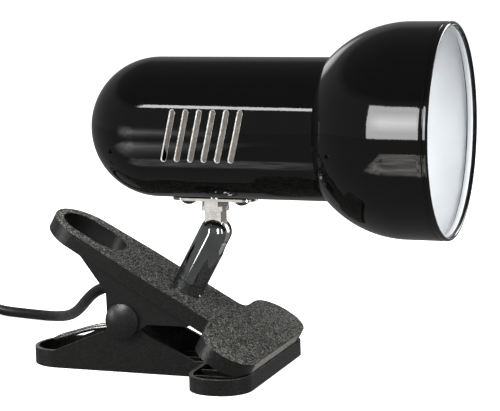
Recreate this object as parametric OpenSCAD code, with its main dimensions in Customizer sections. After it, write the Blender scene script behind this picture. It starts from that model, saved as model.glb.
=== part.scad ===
// Clip-on reading lamp: a metal spot head on a ball knuckle, carried by a sprung plastic clip.
// X runs from the clip's tail to the lamp's mouth, Z is up, and the clip stands on Z = 0.

/* [Head] */
// Height of the head's axis above the surface the clip stands on
axis_h = 119.5; // [115:0.5:125]
// Outer radius of the rear barrel and its round end
barrel_r = 34; // [33:0.5:35]
// Outer radius of the bowl's straight rim
bowl_r = 50.6; // [48:0.2:54]
// Length of the head from the knuckle to the rim
rim_reach = 118; // [112:1:122]
// Length of the barrel from the knuckle to the bowl
barrel_reach = 60; // [56:1:62]
// Length of the barrel behind the knuckle, up to the centre of the round end
barrel_back = 27; // [24:1:30]
// Radius of the curve that opens the bowl out from the barrel
flare_r = 52; // [48:1:60]
// Thickness of the spun metal
skin = 0.7; // [0.6:0.1:1]

/* [Vents] */
// Slots on each side of the barrel
vent_count = 6; // [3:1:7]
// Distance from slot to slot
vent_pitch = 6.7; // [6:0.1:7]
// Width of a slot
vent_w = 2.9; // [2:0.1:3.5]
// Length of a slot between the centres of its round ends
vent_len = 22.6; // [16:0.2:26]
// Lean of a slot from upright
vent_lean = 13.3; // [0:0.1:18]

/* [Knuckle] */
// Lean of the swivel tube towards the mouth, which is also the slope of the upper jaw
lean = 29; // [26:0.5:31]
// Distance from the head's axis down to the ball's centre
ball_drop = 51; // [50:0.5:53]
// Radius of the ball
ball_r = 6.9; // [6:0.1:6.9]
// Outer radius of the swivel tube
tube_r = 8; // [8:0.1:8.4]
// Distance from the jaw's plate to the ball's centre
tube_len = 33; // [31:0.5:36]
// Width and depth of the milled neck above the ball
neck_w = 8.4; // [7:0.1:8.6]

/* [Clip] */
// Height of the pivot
pivot_h = 26.3; // [25.5:0.1:27]
// Distance of the pivot behind the knuckle
pivot_back = 42.3; // [41:0.1:43]
// Width of the mouth end of both jaws
mouth_w = 99; // [80:1:104]
// Width of the upper jaw's shank
shank_w = 42.4; // [42:0.2:44]
// Width of the lower jaw's shank
lower_w = 35.8; // [34:0.2:36]
// Depth of the upper jaw's side walls
wall_h = 7.5; // [6:0.1:8.5]
// Thickness of the moulded walls
wall = 2; // [1.6:0.1:2.4]

/* [Bulb] */
// Diameter of the bulb's globe
globe_d = 45; // [44:1:50]

/* [Cord] */
// Diameter of the round mains cord
cord_d = 5.8; // [5:0.1:6.2]
// Radius of the coil at the middle of its turns
coil_r = 34; // [29:0.2:35]

/* [Hidden] */

$fn = 64;
eps = 0.01;

// Places along X, from the knuckle's axis
stem_x = -10;
rim_x = stem_x + rim_reach;
join_x = stem_x + barrel_reach;
dome_x = stem_x - barrel_back;
pivot_x = stem_x - pivot_back;
ball_h = axis_h - ball_drop;

// Bowl: a circular flare that meets the straight rim at flare_x
flare_x = join_x + sqrt(pow(flare_r, 2) - pow(flare_r + barrel_r - bowl_r, 2));
hem_r = 1.2;
hem_depth = 4;

// Bracket under the barrel
plate_l = 43;
plate_w = 12;
plate_t = 1.2;
plate_top = axis_h - barrel_r;
plate_low = plate_top - plate_t;
screw_off = 13.6;
stem_bore_r = 2.4;
stem_thread_r = 4;
nut_h = 2.6;
collar_r = 6.6;
collar_h = 2.4;
collar_low = plate_low - nut_h - collar_h;

// Lampholder and bulb, along the head's axis
holder_back = stem_x - 21;
holder_len = 57;
holder_r = 21.5;
cap_end = 41;
globe_x = stem_x + 77 - globe_d / 2;

// Swivel tube, in its own frame: u along the jaw's slope, w up the tube
tube_wall = 0.9;
ferrule_h = 5.3;
tube_gap = 0.3;
lip_h = 1.2;
nipple_r = 4.97;
nipple_bore_r = 3.4;
slot_w = neck_w + 0.5;
slot_drop = 9.5;

// Upper jaw, in the same frame with its top surface at w = 0
jaw_t = 2.2;
jaw_back = -77;
shoulder_u = 25.4;
jaw_front = 54.4;
tail_r = 19.6;
corner_r = 14;
mouth_h = 8.6;
mouth_depth = 7.4;
fillet_r = 4.5;
pad_h = 7.9;
pad_w = 68;
pad_depth = 10;
hole_r = 11.8;
hole_u = [-61, -49.4];
hole_depth = 9.8;
plate_over_pad = 0.8;
ear_out = 20;
ear_in = lower_w / 2 + 0.3;
ear_r = 8.3;
cap_r = 8.6;
pin_r = 3;

// Lower jaw
lower_back = stem_x - 98;
lower_front = stem_x + 29.8;
lower_head_x = stem_x - 1;
lower_wall_h = 7.6;
floor_t = 2;
rib_pitch = 11.2;
rib_h = 4.8;
bridge_x = stem_x - 46.5;
bridge_t = 7;
bridge_low = 37;
bridge_top = 47.4;
cord_exit_h = 42.6;
relief_droop = 18;
relief_yaw = 25;
relief_r = 3.6;
relief_reach = 19;

// Torsion spring on the pivot pin
wire_r = 1.1;
coil_mid_r = 6.2;
spring_turns = 3.22;
spring_gap = 3.4;

// Cord route from the strain relief to the switch, from the switch to the coil, and to the plug
lead_route = [
    [-71.7, 7.1, 37.2], [-78.3, 10.5, 34.4], [-82.9, 13.7, 31.7], [-87.1, 17.4, 28.7],
    [-91.4, 22.1, 25.4], [-96, 27.9, 21.9], [-101.4, 35.1, 18.2], [-108, 44, 14.3], [-117, 56, 9.8],
    [-127, 67, 6.3], [-137.5, 75, 4.1], [-148.5, 80, 3.2], [-159.5, 82.8, 3], [-169, 84, 3.3],
    [-175.5, 84.4, 4.3], [-181, 84.5, 5.5], [-186, 84.5, 6]
];
link_route = [
    [-242, 84.5, 6], [-245, 84.5, 6], [-251.4, 83.7, 5.7], [-257.3, 81.2, 5], [-262.4, 77.3, 4.3],
    [-266.3, 72.2, 3.6], [-268.8, 66.3, 3.2], [-269.6, 59.9, 3], [-269.6, 50, 3], [-269.6, 40, 3],
    [-269.6, 28, 3]
];
tail_route = [
    [-269.6, 28, 8.8], [-269.8, 18, 8.8], [-270.2, 8, 8], [-270.8, -2, 6.4], [-271.2, -12, 5],
    [-271.5, -22, 5], [-271.5, -30, 5]
];
coil_x = -229.8;
coil_y = 28;
coil_tracks = 3;
switch_x = -214;
switch_y = 84.5;
switch_l = 56;
switch_w = 22;
rocker_w = 12.4;
rocker_h = 11;
plug_x = -271.5;
plug_y = -30;
plug_h = 5;
plug_l = 36;
pin_len = 19;
pin_reach = 2;

// ---- Frames ----

module jaw_frame() {
    translate([stem_x, 0, ball_h]) rotate([0, lean, 0]) translate([0, 0, -tube_len]) children();
}

module across() {
    rotate([90, 0, 0]) children();
}

module mirrored_y() {
    children();
    mirror([0, 1, 0]) children();
}

module ring(r_out, r_in, h) {
    difference() {
        cylinder(r = r_out, h = h);
        translate([0, 0, -1]) cylinder(r = r_in, h = h + 2);
    }
}

module hex_nut(flats, r_in, h) {
    difference() {
        cylinder(r = flats / sqrt(3), h = h, $fn = 6);
        translate([0, 0, -1]) cylinder(r = r_in, h = h + 2);
    }
}

// A flat shape with round ends, centred on x = a and x = b
module obround(a, b, r) {
    for (u = [a, b]) translate([u, 0]) circle(r = r);
    translate([a, -r]) square([b - a, 2 * r]);
}

// ---- Swept tubes ----

function unit(v) = v / norm(v);
function along(p, i) = unit(p[min(i + 1, len(p) - 1)] - p[max(i - 1, 0)]);
function side_of(d) = unit(abs(d[2]) > 0.9 ? cross([0, 1, 0], d) : cross([0, 0, 1], d));
function ring_at(c, d, r, n) = [
    for (k = [0 : n - 1])
        c + r * cos(360 * k / n) * side_of(d) + r * sin(360 * k / n) * cross(d, side_of(d))
];

module tube(path, r, n = 8) {
    m = len(path);
    points = [for (i = [0 : m - 1]) each ring_at(path[i], along(path, i), r, n)];
    skin_faces = [
        for (i = [0 : m - 2], k = [0 : n - 1])
            each [
                [i * n + k, (i + 1) * n + k, i * n + (k + 1) % n],
                [i * n + (k + 1) % n, (i + 1) * n + k, (i + 1) * n + (k + 1) % n]
            ]
    ];
    back_face = [for (k = [0 : n - 1]) k];
    front_face = [for (k = [n - 1 : -1 : 0]) (m - 1) * n + k];
    polyhedron(points = points, faces = concat(skin_faces, [back_face], [front_face]), convexity = 10);
}

function helix(r, pitch, turns, steps) = [
    for (i = [0 : steps]) let (a = 360 * turns * i / steps)
        [r * cos(a), r * sin(a), pitch * turns * i / steps]
];

// ---- Head ----

// Points of the flare at radius r about its centre, from the barrel out to the straight rim
flare_low = acos((join_x - flare_x) / flare_r);
function flare_point(r, a) = [flare_x + r * cos(a), bowl_r - flare_r + r * sin(a)];
function flare_line(r, n) = [for (i = [0 : n]) flare_point(r, flare_low + (90 - flare_low) * i / n)];
function hem_line(r) = [
    for (i = [0 : 6]) [rim_x - hem_r + r * sin(30 * i), bowl_r - hem_r + r * cos(30 * i)]
];
function reversed(v) = [for (i = [len(v) - 1 : -1 : 0]) v[i]];

module bowl_profile() {
    polygon(concat(
        [[join_x, barrel_r - 4]],
        flare_line(flare_r, 20),
        hem_line(hem_r),
        [[rim_x - hem_depth, bowl_r - 2 * hem_r], [rim_x - hem_depth, bowl_r - 2 * hem_r + skin]],
        reversed(hem_line(hem_r - skin)),
        reversed(flare_line(flare_r - skin, 20)),
        [[join_x + skin, barrel_r - 4]]
    ));
}

module revolve_x() {
    translate([0, 0, axis_h]) rotate([0, 90, 0]) rotate_extrude($fn = 128) children();
}

module front_bowl() {
    color([0.05, 0.05, 0.05])
    revolve_x() rotate(90) mirror([0, 1]) bowl_profile();
}

module barrel_profile(r) {
    intersection() {
        translate([dome_x, 0]) circle(r = r, $fn = 128);
        translate([dome_x - r, 0]) square([r + eps, r]);
    }
    translate([dome_x, 0]) square([join_x - dome_x, r]);
}

module vents() {
    first = stem_x + 6.7 - vent_pitch * (vent_count - 1) / 2;
    for (i = [0 : vent_count - 1])
        translate([first + vent_pitch * i, 0, axis_h - 0.5])
            across() rotate(90 - vent_lean)
                linear_extrude(barrel_r + 5) obround(-vent_len / 2, vent_len / 2, vent_w / 2);
}

module rear_housing() {
    color([0.05, 0.05, 0.05])
    difference() {
        revolve_x() rotate(90) mirror([0, 1]) difference() {
            barrel_profile(barrel_r);
            difference() {
                barrel_profile(barrel_r - skin);
                translate([join_x - eps, 0]) square([1, barrel_r]);
            }
            translate([join_x - 1, 0]) square([2, barrel_r - skin]);
        }
        mirrored_y() vents();
        translate([stem_x, 0, plate_low]) cylinder(r = stem_thread_r + 0.1, h = 6);
        for (s = [-1, 1]) translate([stem_x + s * screw_off, 0, plate_low]) cylinder(r = 2.1, h = 6);
    }
}

module bracket_plate() {
    color([0.8, 0.8, 0.8])
    difference() {
        translate([stem_x, 0, plate_low]) linear_extrude(plate_t) difference() {
            obround(-plate_l / 2 + plate_w / 2, plate_l / 2 - plate_w / 2, plate_w / 2);
            circle(r = stem_thread_r + 0.1);
        }
        for (s = [-1, 1]) translate([stem_x + s * screw_off, 0, plate_low - 1]) cylinder(r = 2.1, h = 4);
    }
}

module plate_screws() {
    color([0.75, 0.75, 0.75])
    for (s = [-1, 1]) translate([stem_x + s * screw_off, 0, plate_low]) {
        difference() {
            intersection() {
                translate([0, 0, -2.6]) cylinder(r = 3.7, h = 2.6);
                translate([0, 0, 2.2]) sphere(r = 4.8);
            }
            for (a = [45, 135]) rotate(a) translate([-2.2, -0.4, -3]) cube([4.4, 0.8, 1.4]);
        }
        translate([0, 0, -eps]) cylinder(r = 2, h = 6.4);
    }
}

module plate_nuts() {
    color([0.7, 0.7, 0.7])
    for (s = [-1, 1]) translate([stem_x + s * screw_off, 0, plate_top + 1.6]) hex_nut(7, 2, 2.6);
}

module stem_nut() {
    color([0.8, 0.8, 0.8])
    translate([stem_x, 0, plate_low - nut_h]) hex_nut(12, stem_thread_r, nut_h);
}

module knuckle_stem() {
    color([0.8, 0.8, 0.8])
    difference() {
        union() {
            translate([stem_x, 0, ball_h]) sphere(r = ball_r);
            translate([stem_x - neck_w / 2, -neck_w / 2, ball_h])
                cube([neck_w, neck_w, collar_low - ball_h + eps]);
            intersection() {
                translate([stem_x, 0, collar_low]) cylinder(r = collar_r, h = collar_h);
                translate([stem_x - 10, -neck_w / 2, collar_low]) cube([20, neck_w, collar_h]);
            }
            translate([stem_x, 0, collar_low + collar_h - eps]) cylinder(r = stem_thread_r, h = 13);
        }
        translate([stem_x, 0, ball_h - 1]) cylinder(r = stem_bore_r, h = 40);
        translate([stem_x, 0, ball_h]) rotate([0, lean, 0]) translate([0, 0, -20])
            cylinder(r = stem_bore_r + 0.7, h = 20);
    }
}

module inner_lock_nut() {
    color([0.8, 0.8, 0.8])
    translate([stem_x, 0, plate_top + 2.8]) hex_nut(11, stem_thread_r, 3);
}

module lampholder_bracket() {
    rise = axis_h + 9 - plate_top - 1.6;
    color([0.8, 0.8, 0.8])
    difference() {
        union() {
            translate([holder_back - plate_t, -5, plate_top + 1.6])
                cube([stem_x + 7 - holder_back + plate_t, 10, plate_t]);
            translate([holder_back - plate_t, -5, plate_top + 1.6]) cube([plate_t, 10, rise]);
        }
        translate([stem_x, 0, plate_top]) cylinder(r = stem_thread_r + 0.1, h = 5);
        translate([stem_x - screw_off, 0, plate_top]) cylinder(r = 4.4, h = 5);
        translate([holder_back - 3, 0, axis_h]) rotate([0, 90, 0]) cylinder(r = 5.05, h = 5);
    }
}

// A turned piece on the head's axis: outline points are [x from the holder's back, radius]
module turned(x, outline) {
    translate([x, 0, axis_h]) rotate([0, 90, 0]) rotate_extrude($fn = 96)
        rotate(90) mirror([0, 1]) polygon(outline);
}

module lampholder_body() {
    color([0.75, 0.72, 0.66])
    turned(holder_back, [
        [-4, 3.4], [-4, 5], [0, 5], [0, 16], [3, 20], [6, holder_r], [holder_len, holder_r],
        [holder_len, holder_r - 2], [8, holder_r - 2], [5, 17.5], [2, 14], [2, 3.4]
    ]);
}

module lampholder_insert() {
    color([0.93, 0.92, 0.88])
    difference() {
        turned(holder_back, [[6, 0], [6, 17], [8.5, 19.4], [30, 19.4], [30, 14.6], [12, 14.6], [12, 0]]);
        for (s = [-1, 1]) translate([holder_back + 5, s * 8, axis_h]) rotate([0, 90, 0])
            cylinder(r = 1.6, h = 10);
    }
}

module screw_shell() {
    color([0.8, 0.68, 0.35])
    turned(holder_back, [[12.1, 9], [12.1, 14.4], [29, 14.4], [29, 13.9], [12.7, 13.9], [12.7, 9]]);
}

module centre_contact() {
    color([0.8, 0.68, 0.35])
    translate([holder_back + 12.1, -2.5, axis_h - 6]) cube([1.2, 5, 12]);
}

module terminal_screws() {
    color([0.8, 0.7, 0.4])
    for (s = [-1, 1]) translate([holder_back + 3.2, s * 8, axis_h]) rotate([0, 90, 0]) {
        cylinder(r = 2.6, h = 1.9);
        cylinder(r = 1.6, h = 8);
    }
}

module bulb_cap() {
    color([0.78, 0.78, 0.76])
    turned(holder_back, [
        [13.6, 0], [13.6, 4.5], [16.5, 8], [18, 13.2], [cap_end, 13.2], [cap_end, 12.4],
        [19, 12.4], [17, 0]
    ]);
}

// Points of the globe's outline from its neck to its tip, drawn in from the outside by inset
function globe_line(inset, tip) = concat(
    [[holder_back + cap_end, 13.2 - inset], [holder_back + cap_end + 6, 14.6 - inset]],
    [for (i = [0 : 12]) let (a = 125 - (125 - tip) * i / 12)
        [globe_x + (globe_d / 2 - inset) * cos(a), (globe_d / 2 - inset) * sin(a)]]
);

module bulb_globe() {
    color([0.95, 0.95, 0.92])
    revolve_x() rotate(90) mirror([0, 1])
        polygon(concat(globe_line(0, 0), reversed(globe_line(0.9, 0))));
}

// ---- Swivel tube ----

module tube_slot() {
    // Open side, towards the mouth
    translate([0, 0, tube_len]) rotate([0, 90, 0]) linear_extrude(tube_r + 2)
        obround(-tube_r - 4, slot_drop - slot_w / 2, slot_w / 2);
    // Room for the neck while it stands upright
    translate([0, 0, tube_len]) rotate([0, -lean, 0]) translate([-slot_w / 2, -slot_w / 2 - 0.2, 1])
        cube([slot_w + tube_r, slot_w + 0.4, tube_r + 4]);
}

// The tube's domed end, which the slot cuts open before it closes
function dome_line(r) = [
    for (i = [0 : 16]) let (a = 80 * i / 16) [r * cos(a), tube_len + r * sin(a)]
];

module swivel_tube() {
    bottom = ferrule_h + tube_gap;
    bore = tube_r - tube_wall;
    lip_r = nipple_r + 0.06;
    color([0.85, 0.85, 0.86])
    jaw_frame() difference() {
        rotate_extrude($fn = 96) polygon(concat(
            [[lip_r, bottom], [tube_r, bottom]], dome_line(tube_r), reversed(dome_line(bore)),
            [[bore, bottom + lip_h], [lip_r, bottom + lip_h]]
        ));
        tube_slot();
    }
}

module ball_seat() {
    color([0.9, 0.9, 0.88])
    jaw_frame() difference() {
        translate([0, 0, tube_len - 9]) cylinder(r = tube_r - tube_wall - 0.05, h = 5.5);
        translate([0, 0, tube_len]) sphere(r = ball_r + 0.06, $fn = 96);
        translate([0, 0, tube_len - 10]) cylinder(r = nipple_bore_r, h = 8);
    }
}

module friction_spring() {
    low = ferrule_h + tube_gap + lip_h + 2.6;
    high = tube_len - 9.8;
    pitch = (high - low) / 5;
    color([0.75, 0.76, 0.78])
    jaw_frame() translate([0, 0, low])
        tube(helix(5.4, pitch, 5, 80), 0.7);
}

// ---- Upper jaw ----

module tube_ferrule() {
    color([0.8, 0.8, 0.82])
    jaw_frame() {
        difference() {
            cylinder(r = tube_r, h = ferrule_h);
            translate([0, 0, -1]) cylinder(r = nipple_r + 0.05, h = 8);
        }
        for (s = [-1, 1]) translate([s > 0 ? tube_r - 0.3 : -tube_r - 2.7, -0.5, -1.5]) cube([3, 1, 1.6]);
    }
}

module tube_nipple() {
    head_low = ferrule_h + tube_gap + lip_h + 0.1;
    color([0.78, 0.74, 0.6])
    jaw_frame() difference() {
        union() {
            translate([0, 0, -9.5]) cylinder(r = nipple_r, h = head_low + 9.5 + eps);
            translate([0, 0, head_low]) cylinder(r = 6.6, h = 1.6);
        }
        translate([0, 0, -11]) cylinder(r = nipple_bore_r, h = 25);
    }
}

module nipple_washer() {
    color([0.75, 0.75, 0.75])
    jaw_frame() translate([0, 0, -jaw_t - 1.2]) ring(8.5, nipple_r + 0.03, 1.2);
}

module nipple_nut() {
    color([0.75, 0.75, 0.75])
    jaw_frame() translate([0, 0, -jaw_t - 1.2 - 3.6]) hex_nut(14, nipple_r, 3.6);
}

module shank_outline(inset) {
    half = shank_w / 2 - inset;
    r = tail_r - inset;
    translate([jaw_back + tail_r, 0]) circle(r = r, $fn = 96);
    polygon([
        [jaw_back + tail_r, -r], [-28, -half], [shoulder_u + 3, -half],
        [shoulder_u + 3, half], [-28, half], [jaw_back + tail_r, r]
    ]);
}

module mouth_outline(inset) {
    r = corner_r - inset;
    half = mouth_w / 2 - corner_r;
    for (s = [-1, 1], u = [shoulder_u + corner_r, jaw_front - corner_r])
        translate([u, s * half]) circle(r = r);
    translate([shoulder_u + inset, -half]) square([jaw_front - shoulder_u - 2 * inset, 2 * half]);
}

// Concave corners where the shank meets the mouth end
module shoulder_fillets() {
    half = shank_w / 2;
    for (s = [-1, 1]) difference() {
        translate([shoulder_u - fillet_r, s > 0 ? half - 0.5 : -half - fillet_r])
            square([fillet_r + 1, fillet_r + 0.5]);
        translate([shoulder_u - fillet_r, s * (half + fillet_r)]) circle(r = fillet_r);
    }
}

module ear_profile() {
    translate([pivot_x, pivot_h]) circle(r = ear_r);
    polygon([
        [stem_x - 67, 61.8], [stem_x - 50.8, 40], [stem_x - 50.5, pivot_h], [pivot_x, pivot_h - ear_r],
        [stem_x - 34.6, 21.4], [stem_x - 29.6, 25], [stem_x - 8, 25.2], [stem_x - 6, 33.5],
        [stem_x - 66, 66]
    ]);
}

module upper_jaw() {
    color([0.09, 0.09, 0.09])
    difference() {
        union() {
            jaw_frame() {
                translate([0, 0, -wall_h]) linear_extrude(wall_h) {
                    difference() {
                        shank_outline(0);
                        shank_outline(wall);
                    }
                    shoulder_fillets();
                }
                translate([0, 0, -hole_depth]) linear_extrude(hole_depth)
                    obround(hole_u[0], hole_u[1], hole_r + wall);
                translate([0, 0, -jaw_t]) linear_extrude(jaw_t) union() {
                    shank_outline(0);
                    mouth_outline(0);
                }
            }
            intersection() {
                jaw_frame() translate([0, 0, -mouth_depth]) linear_extrude(mouth_depth - eps) difference() {
                    mouth_outline(0);
                    mouth_outline(wall);
                }
                translate([-60, -80, mouth_h]) cube([120, 160, 60]);
            }
            mirrored_y() translate([0, ear_out, 0]) across() linear_extrude(ear_out - ear_in) ear_profile();
        }
        // Finger hole, tube seat, spline slots and the opening where the pad shows
        jaw_frame() {
            translate([0, 0, -30]) linear_extrude(40) obround(hole_u[0], hole_u[1], hole_r);
            translate([0, 0, -10]) cylinder(r = nipple_r + 0.05, h = 20);
            for (u = [-12.2, tube_r + 0.2 - 0.6]) translate([u, -0.55, -1.7]) cube([4.6, 1.1, 10]);
            translate([jaw_front - pad_depth - 0.1, -pad_w / 2 - 0.1, -30])
                cube([pad_depth + 2, pad_w + 0.2, 30 - plate_over_pad]);
            translate([shoulder_u - 3, -shank_w / 2 + wall, -30]) cube([6, shank_w - 2 * wall, 27.8]);
        }
        mirrored_y() translate([pivot_x, 30, pivot_h]) across() cylinder(r = pin_r, h = 20);
    }
}

module grip_pad() {
    color([0.62, 0.6, 0.56])
    intersection() {
        jaw_frame() translate([jaw_front - pad_depth, -pad_w / 2, -30])
            cube([pad_depth - 0.1, pad_w, 30 - plate_over_pad]);
        translate([-60, -80, pad_h]) cube([120, 160, 60]);
    }
}

module pivot_pin() {
    color([0.75, 0.75, 0.76])
    translate([pivot_x, ear_out + 1.5, pivot_h]) across() cylinder(r = pin_r, h = 2 * ear_out + 3);
}

module pivot_caps() {
    color([0.11, 0.11, 0.11])
    mirrored_y() translate([pivot_x, -ear_out, pivot_h]) across() difference() {
        intersection() {
            cylinder(r = cap_r, h = 3.9);
            translate([0, 0, -12]) sphere(r = 15.9, $fn = 96);
        }
        translate([0, 0, -1]) cylinder(r = pin_r, h = 2.5);
    }
}

module torsion_spring() {
    turn = coil_mid_r;
    pitch = 2 * wire_r + 0.15;
    coil_len = pitch * spring_turns;
    // One coil and its two legs, seen along the pin: the inner leg lies in the lower jaw's tail
    inner_leg = [
        [-44, -spring_gap, -15], [-36, -spring_gap, -12.5], [-24, -spring_gap, -8.8], [-10, -spring_gap, -7]
    ];
    turns = [
        for (i = [0 : 40]) let (a = 265 - 360 * spring_turns * i / 40)
            [turn * cos(a), -spring_gap - coil_len * i / 40, turn * sin(a)]
    ];
    outer_y = -spring_gap - coil_len;
    outer_leg = [[-9.9, outer_y, 10.5], [-10.2, outer_y, 21], [-8.8, outer_y, 28.4]];
    color([0.8, 0.8, 0.8])
    translate([pivot_x, 0, pivot_h]) {
        mirrored_y() tube(concat(inner_leg, turns, outer_leg), wire_r);
        tube([[-44, -spring_gap - 0.9, -15], [-44.6, 0, -15.1], [-44, spring_gap + 0.9, -15]], wire_r);
    }
}

// ---- Lower jaw ----

module lower_outline(inset) {
    half = lower_w / 2 - inset;
    translate([lower_back + lower_w / 2, 0]) circle(r = half, $fn = 96);
    translate([lower_back + lower_w / 2, -half])
        square([lower_head_x + corner_r - lower_back - lower_w / 2, 2 * half]);
    head_half = mouth_w / 2 - corner_r;
    for (s = [-1, 1], x = [lower_head_x + corner_r, lower_front - corner_r])
        translate([x, s * head_half]) circle(r = corner_r - inset);
    translate([lower_head_x + inset, -head_half])
        square([lower_front - lower_head_x - 2 * inset, 2 * head_half]);
}

module lower_side() {
    polygon([
        [lower_back - 1, 0], [lower_back - 1, 8.2], [stem_x - 81, 8.8], [stem_x - 53.7, 20],
        [stem_x - 49.5, 22.5], [pivot_x, pivot_h + 2], [stem_x - 33, 21.6], [stem_x - 29.3, 18.7],
        [stem_x - 6.5, lower_wall_h], [lower_front + 1, lower_wall_h], [lower_front + 1, 0]
    ]);
    translate([pivot_x, pivot_h]) circle(r = 7.8);
    translate([bridge_x - bridge_t / 2, pivot_h]) square([bridge_t, bridge_top - pivot_h]);
}

module lower_jaw() {
    color([0.09, 0.09, 0.09])
    difference() {
        union() {
            intersection() {
                linear_extrude(50) difference() {
                    lower_outline(0);
                    lower_outline(wall);
                }
                translate([0, 60, 0]) across() linear_extrude(120) lower_side();
            }
            linear_extrude(floor_t) lower_outline(0);
            for (k = [-3.5 : 1 : 3.5]) let (rib_x = abs(k) < 1 ? stem_x - 20 : lower_head_x + 1)
                translate([rib_x, k * rib_pitch - 0.6, floor_t - eps])
                    cube([lower_front - 1 - rib_x, 1.2, rib_h]);
            translate([bridge_x - bridge_t / 2, -lower_w / 2 + 1, bridge_low])
                cube([bridge_t, lower_w - 2, bridge_top - bridge_low]);
        }
        translate([pivot_x, 30, pivot_h]) across() cylinder(r = pin_r + 0.06, h = 60);
        relief_frame() translate([0, 0, -bridge_t]) cylinder(r = relief_r, h = 2 * bridge_t);
    }
}

module relief_frame() {
    translate([bridge_x, 0, cord_exit_h]) rotate([0, -90 - relief_droop, -relief_yaw]) children();
}

module strain_relief() {
    inside = bridge_t / 2 + 2.1;
    collar_at = bridge_t / 2 + 3.3;
    color([0.07, 0.07, 0.07])
    relief_frame() difference() {
        union() {
            translate([0, 0, -inside]) cylinder(r = relief_r, h = inside + collar_at + eps);
            translate([0, 0, collar_at])
                cylinder(r1 = relief_r + 0.9, r2 = 3.3, h = relief_reach - collar_at);
        }
        translate([0, 0, -bridge_t * 2]) cylinder(r = cord_d / 2, h = 3 * relief_reach);
    }
}

// ---- Cord, switch and plug ----

module cord_lead() {
    color([0.08, 0.08, 0.07]) tube(lead_route, cord_d / 2);
}

module cord_link() {
    color([0.08, 0.08, 0.07]) tube(link_route, cord_d / 2);
}

module cord_tail() {
    color([0.08, 0.08, 0.07]) tube(tail_route, cord_d / 2);
}

module cord_coil() {
    half = coil_tracks * cord_d / 2;
    color([0.08, 0.08, 0.07])
    translate([coil_x, coil_y, 0]) rotate_extrude($fn = 96)
        translate([coil_r - half, 0.1]) square([2 * half, 2 * cord_d]);
}

module coil_tie() {
    half = coil_tracks * cord_d / 2;
    color([0.12, 0.12, 0.12])
    translate([coil_x, coil_y, 0]) rotate(-40) translate([coil_r, 0, 0]) difference() {
        translate([-half - 1.2, -3, 0]) cube([2 * half + 2.4, 6, 2 * cord_d + 1.3]);
        translate([-half - 0.05, -4, 0]) cube([2 * half + 0.1, 8, 2 * cord_d + 0.15]);
    }
}

module switch_shell(low, high) {
    translate([switch_x, switch_y, low]) linear_extrude(high - low)
        obround(-switch_l / 2 + switch_w / 2, switch_l / 2 - switch_w / 2, switch_w / 2);
}

module switch_cavity() {
    translate([switch_x - 13, switch_y - 6.5, 2]) cube([26, 13, 20]);
}

module switch_base() {
    color([0.1, 0.1, 0.1])
    difference() {
        switch_shell(0, 7);
        switch_cavity();
        for (s = [-1, 1]) translate([switch_x + s * 17.5, switch_y, -1]) cylinder(r = 1.4, h = 9);
    }
}

module switch_cover() {
    color([0.1, 0.1, 0.1])
    difference() {
        switch_shell(7, 14);
        switch_cavity();
    }
}

module switch_rocker() {
    color([0.13, 0.13, 0.13]) {
        translate([switch_x, switch_y + rocker_w / 2, rocker_h]) across() linear_extrude(rocker_w)
            polygon([
                [-11.4, 0], [-11.4, 4.4], [0, 3.4], [11.2, 2.2], [11.2, 0], [4, -3.4], [-4, -3.4]
            ]);
        translate([switch_x, switch_y + rocker_w / 2 + 0.25, rocker_h]) across()
            cylinder(r = 1.4, h = rocker_w + 0.5);
    }
}

module plug_body() {
    color([0.09, 0.09, 0.09])
    difference() {
        translate([plug_x, plug_y, 0]) hull() {
            translate([0, 0, plug_h]) rotate([90, 0, 0]) cylinder(r = 4.4, h = 2, $fn = 32);
            for (s = [-1, 1]) {
                translate([s * 6.5, -plug_l + 12, 7]) rotate([90, 0, 0]) cylinder(r = 6.5, h = 12, $fn = 32);
                translate([s * 4, -14, 6]) rotate([90, 0, 0]) cylinder(r = 4.8, h = 2, $fn = 32);
            }
        }
        for (s = [-1, 1]) translate([plug_x + s * 9.5, plug_y - plug_l + 6, 7]) across()
            cylinder(r = 2.3, h = 12);
    }
}

module plug_pins() {
    color([0.8, 0.8, 0.8])
    for (s = [-1, 1]) translate([plug_x + s * 9.5, plug_y - plug_l + 6, 7]) across() {
        cylinder(r = 2.3, h = 6);
        cylinder(r = 2, h = 6 + pin_len - 2);
        translate([0, 0, 6 + pin_len - 2 - eps]) cylinder(r1 = 2, r2 = 1, h = 2);
    }
}

rear_housing();
front_bowl();
bracket_plate();
plate_screws();
plate_nuts();
stem_nut();
knuckle_stem();
inner_lock_nut();
lampholder_bracket();
lampholder_body();
lampholder_insert();
screw_shell();
centre_contact();
terminal_screws();
bulb_globe();
bulb_cap();
swivel_tube();
ball_seat();
friction_spring();
tube_ferrule();
tube_nipple();
nipple_washer();
nipple_nut();
upper_jaw();
grip_pad();
pivot_pin();
pivot_caps();
torsion_spring();
lower_jaw();
strain_relief();
cord_lead();
switch_base();
switch_cover();
switch_rocker();
cord_link();
cord_coil();
coil_tie();
cord_tail();
plug_body();
plug_pins();
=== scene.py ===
import math

import bmesh
import bpy
from mathutils import Matrix, Vector


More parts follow.
